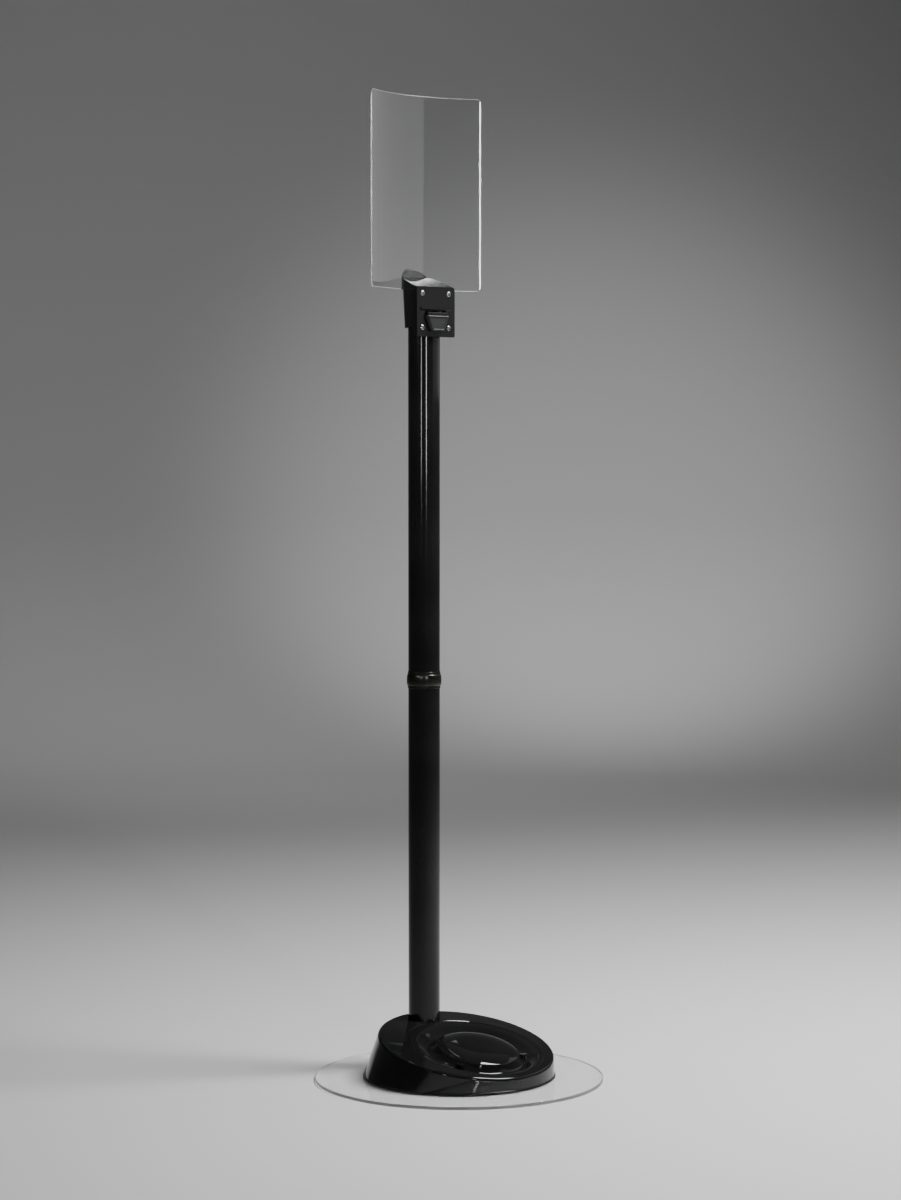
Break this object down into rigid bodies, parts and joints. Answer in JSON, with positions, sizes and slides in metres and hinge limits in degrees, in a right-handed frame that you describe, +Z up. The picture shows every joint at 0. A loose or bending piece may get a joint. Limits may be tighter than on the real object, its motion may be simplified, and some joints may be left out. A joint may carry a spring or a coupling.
{
  "type": "sign stand",
  "caption": "Free-standing sign stand: weighted slanted base on a clear floor disc, jointed pole, head with a retracting belt, and a curved clear sign panel clamped behind it.",
  "frame": {"origin": "centre of the floor disc's underside", "axes": "+Z up along the pole, -Y towards the front, where the belt comes out, +X to the front's right as seen facing the stand"},
  "size_m": [0.45, 0.45, 1.54],
  "materials": {
    "clear_acrylic": "clear, polished",
    "gloss_black": "glossy black moulding",
    "black_paint": "glossy black paint",
    "satin_olive": "satin olive-black",
    "satin_grey": "satin dark grey",
    "zinc_steel": "bright zinc plate",
    "aluminium": "turned",
    "cast_iron": "as cast",
    "rubber": "matt",
    "nylon": "natural",
    "spring_steel": "blued",
    "webbing": "plain woven"
  },
  "bodies": {
    "base": {"floor_disc": "clear_acrylic", "base_cover": "gloss_black", "base_weight": "cast_iron", "pole_foot_plug": "aluminium", "pole_bolt": "zinc_steel", "pole_bolt_washer": "zinc_steel", "base_screw_1": "zinc_steel", "base_screw_2": "zinc_steel", "base_screw_3": "zinc_steel", "base_screw_4": "zinc_steel", "lower_pole": "black_paint", "joint_spigot": "aluminium", "joint_collar": "satin_olive"},
    "upper": {"upper_pole": "black_paint", "head_plug": "aluminium", "head_bolt": "zinc_steel", "head_body": "gloss_black", "front_plate": "gloss_black", "front_plate_screw_1": "zinc_steel", "front_plate_screw_2": "zinc_steel", "front_plate_screw_3": "zinc_steel", "front_plate_screw_4": "zinc_steel", "spool_axle": "zinc_steel", "spool_bush_1": "nylon", "spool_bush_2": "nylon", "rear_jaw": "satin_grey", "jaw_pad": "rubber", "jaw_screw_1": "zinc_steel", "jaw_screw_2": "zinc_steel"},
    "panel": {"sign_panel": "clear_acrylic"},
    "spool": {"belt_spool": "nylon", "spool_spring": "spring_steel", "belt_roll": "webbing"},
    "belt": {"belt_strip": "webbing"},
    "tongue": {"belt_end": "satin_grey"}
  },
  "joints": [
    {"name": "upper_pole_turn", "type": "hinge", "parent": "base", "child": "upper", "pos_m": [0, 0.0885, 0.621], "axis": [0, 0, 1], "continuous": true},
    {"name": "sign_panel_lift", "type": "slide", "parent": "upper", "child": "panel", "axis": [0, 0, 1], "range_m": [0, 0.02]},
    {"name": "belt_pull", "type": "slide", "parent": "upper", "child": "belt", "axis": [0, -1, 0], "range_m": [0, 0.024], "stiffness_N_per_m": 60, "springref_m": -0.05},
    {"name": "spool_turn", "type": "hinge", "parent": "upper", "child": "spool", "pos_m": [0, 0.0845, 1.215], "axis": [-1, 0, 0], "range_deg": [0, 82]},
    {"name": "belt_end_swing", "type": "hinge", "parent": "belt", "child": "tongue", "pos_m": [0, 0.0551, 1.1979], "axis": [-1, 0, 0], "range_deg": [0, 90]}
  ],
  "couplings": [
    {"joint": "spool_turn", "follows": "belt_pull", "rad_per_m": 58.48}
  ]
}
